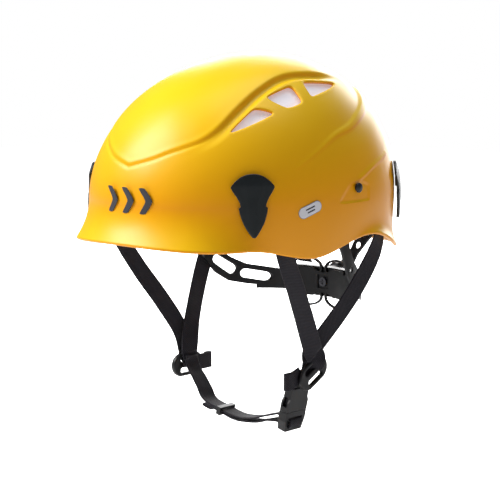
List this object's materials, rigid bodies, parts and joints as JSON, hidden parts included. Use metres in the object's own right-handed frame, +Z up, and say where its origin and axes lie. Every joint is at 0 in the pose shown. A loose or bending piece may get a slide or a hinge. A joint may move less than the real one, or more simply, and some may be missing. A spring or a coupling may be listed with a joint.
{
  "type": "climbing helmet",
  "caption": "Vented hard-shell climbing helmet with foam liner, wheel-adjusted headband, Y-straps and a parting chin buckle.",
  "frame": {"origin": "centre of the head opening at the mean height of the rim", "axes": "+Z up through the crown, -Y towards the brow, +X towards the wearer's left"},
  "size_m": [0.2274, 0.2884, 0.3079],
  "materials": {
    "shell_yellow": "glossy moulded plastic, saturated yellow",
    "foam_white": "expanded bead foam, matt",
    "shutter_white": "satin pale plastic",
    "clip_black": "satin moulded plastic, blue-black",
    "label_white": "satin printed film",
    "badge_black": "satin printed ink",
    "harness_plastic": "satin flexible plastic",
    "knob_grey": "satin smoky plastic",
    "steel": "zinc plated",
    "pad_fabric": "brushed knit over soft foam",
    "webbing": "flat woven nylon",
    "buckle_black": "satin moulded acetal"
  },
  "bodies": {
    "helmet": {"shell": "shell_yellow", "foam_liner": "foam_white", "headlamp_clip_front_left": "clip_black", "headlamp_clip_front_right": "clip_black", "headlamp_clip_rear_left": "clip_black", "headlamp_clip_rear_right": "clip_black", "visor_plug_left": "clip_black", "visor_plug_right": "clip_black", "side_label": "label_white", "front_badge": "badge_black", "brow_band": "harness_plastic", "brow_pad": "pad_fabric", "brow_band_brackets": "harness_plastic", "headband_arm_left": "harness_plastic", "headband_arm_right": "harness_plastic", "arm_rivets": "clip_black", "rear_hanger_left": "harness_plastic", "rear_hanger_right": "harness_plastic", "hanger_screws": "steel", "nape_cradle": "harness_plastic", "adjuster_housing": "harness_plastic", "crown_pad": "pad_fabric", "strap_anchor_front_left": "harness_plastic", "strap_anchor_front_right": "harness_plastic", "strap_anchor_rear_left": "harness_plastic", "strap_anchor_rear_right": "harness_plastic", "strap_front_left": "webbing", "strap_front_right": "webbing", "strap_rear_left": "webbing", "strap_rear_right": "webbing", "slider_left": "buckle_black", "slider_right": "buckle_black", "strap_end_left": "webbing", "strap_end_right": "webbing", "buckle_strap": "webbing", "buckle_socket": "buckle_black", "chin_strap": "webbing", "chin_strap_tail": "webbing"},
    "shutter_left": {"vent_shutter_left": "shutter_white"},
    "shutter_right": {"vent_shutter_right": "shutter_white"},
    "adjuster_wheel": {"adjuster_knob": "knob_grey", "knob_screw": "steel"},
    "rack_left": {"band_rack_left": "harness_plastic"},
    "rack_right": {"band_rack_right": "harness_plastic"},
    "buckle_lower": {"buckle_plug": "buckle_black", "chin_strap_loop": "webbing"},
    "prong_front": {"buckle_prong_front": "buckle_black"},
    "prong_rear": {"buckle_prong_rear": "buckle_black"},
    "keeper": {"strap_keeper": "buckle_black"}
  },
  "joints": [
    {"name": "shutter_left_turn", "type": "hinge", "parent": "helmet", "child": "shutter_left", "pos_m": [0, 0, 0.034], "axis": [0, -1, 0], "range_deg": [0, 7]},
    {"name": "shutter_right_turn", "type": "hinge", "parent": "helmet", "child": "shutter_right", "pos_m": [0, 0, 0.034], "axis": [0, 1, 0], "range_deg": [0, 7]},
    {"name": "adjuster_turn", "type": "hinge", "parent": "helmet", "child": "adjuster_wheel", "pos_m": [0, 0.12, -0.053], "axis": [0, 1, 0], "range_deg": [-180, 180]},
    {"name": "rack_left_run", "type": "hinge", "parent": "helmet", "child": "rack_left", "pos_m": [0, 0.022, -0.053], "axis": [0, 0, 1], "range_deg": [-9.2, 9.2]},
    {"name": "rack_right_run", "type": "hinge", "parent": "helmet", "child": "rack_right", "pos_m": [0, 0.022, -0.053], "axis": [0, 0, 1], "range_deg": [-9.2, 9.2]},
    {"name": "buckle_part", "type": "slide", "parent": "helmet", "child": "buckle_lower", "axis": [-0.2419, 0, -0.9703], "range_m": [0, 0.026]},
    {"name": "prong_front_squeeze", "type": "hinge", "parent": "buckle_lower", "child": "prong_front", "pos_m": [0.05631, -0.01, -0.1408], "axis": [-0.9703, 0, 0.2419], "range_deg": [0, 4], "stiffness_Nm_per_rad": 0.3},
    {"name": "prong_rear_squeeze", "type": "hinge", "parent": "buckle_lower", "child": "prong_rear", "pos_m": [0.05631, 0.004, -0.1408], "axis": [0.9703, 0, -0.2419], "range_deg": [0, 4], "stiffness_Nm_per_rad": 0.3},
    {"name": "keeper_slide", "type": "slide", "parent": "helmet", "child": "keeper", "axis": [0.9732, 0, -0.23], "range_m": [-0.006, 0.006]}
  ],
  "couplings": [
    {"joint": "rack_left_run", "follows": "adjuster_turn", "ratio": -0.050708},
    {"joint": "rack_right_run", "follows": "adjuster_turn", "ratio": 0.050708}
  ]
}
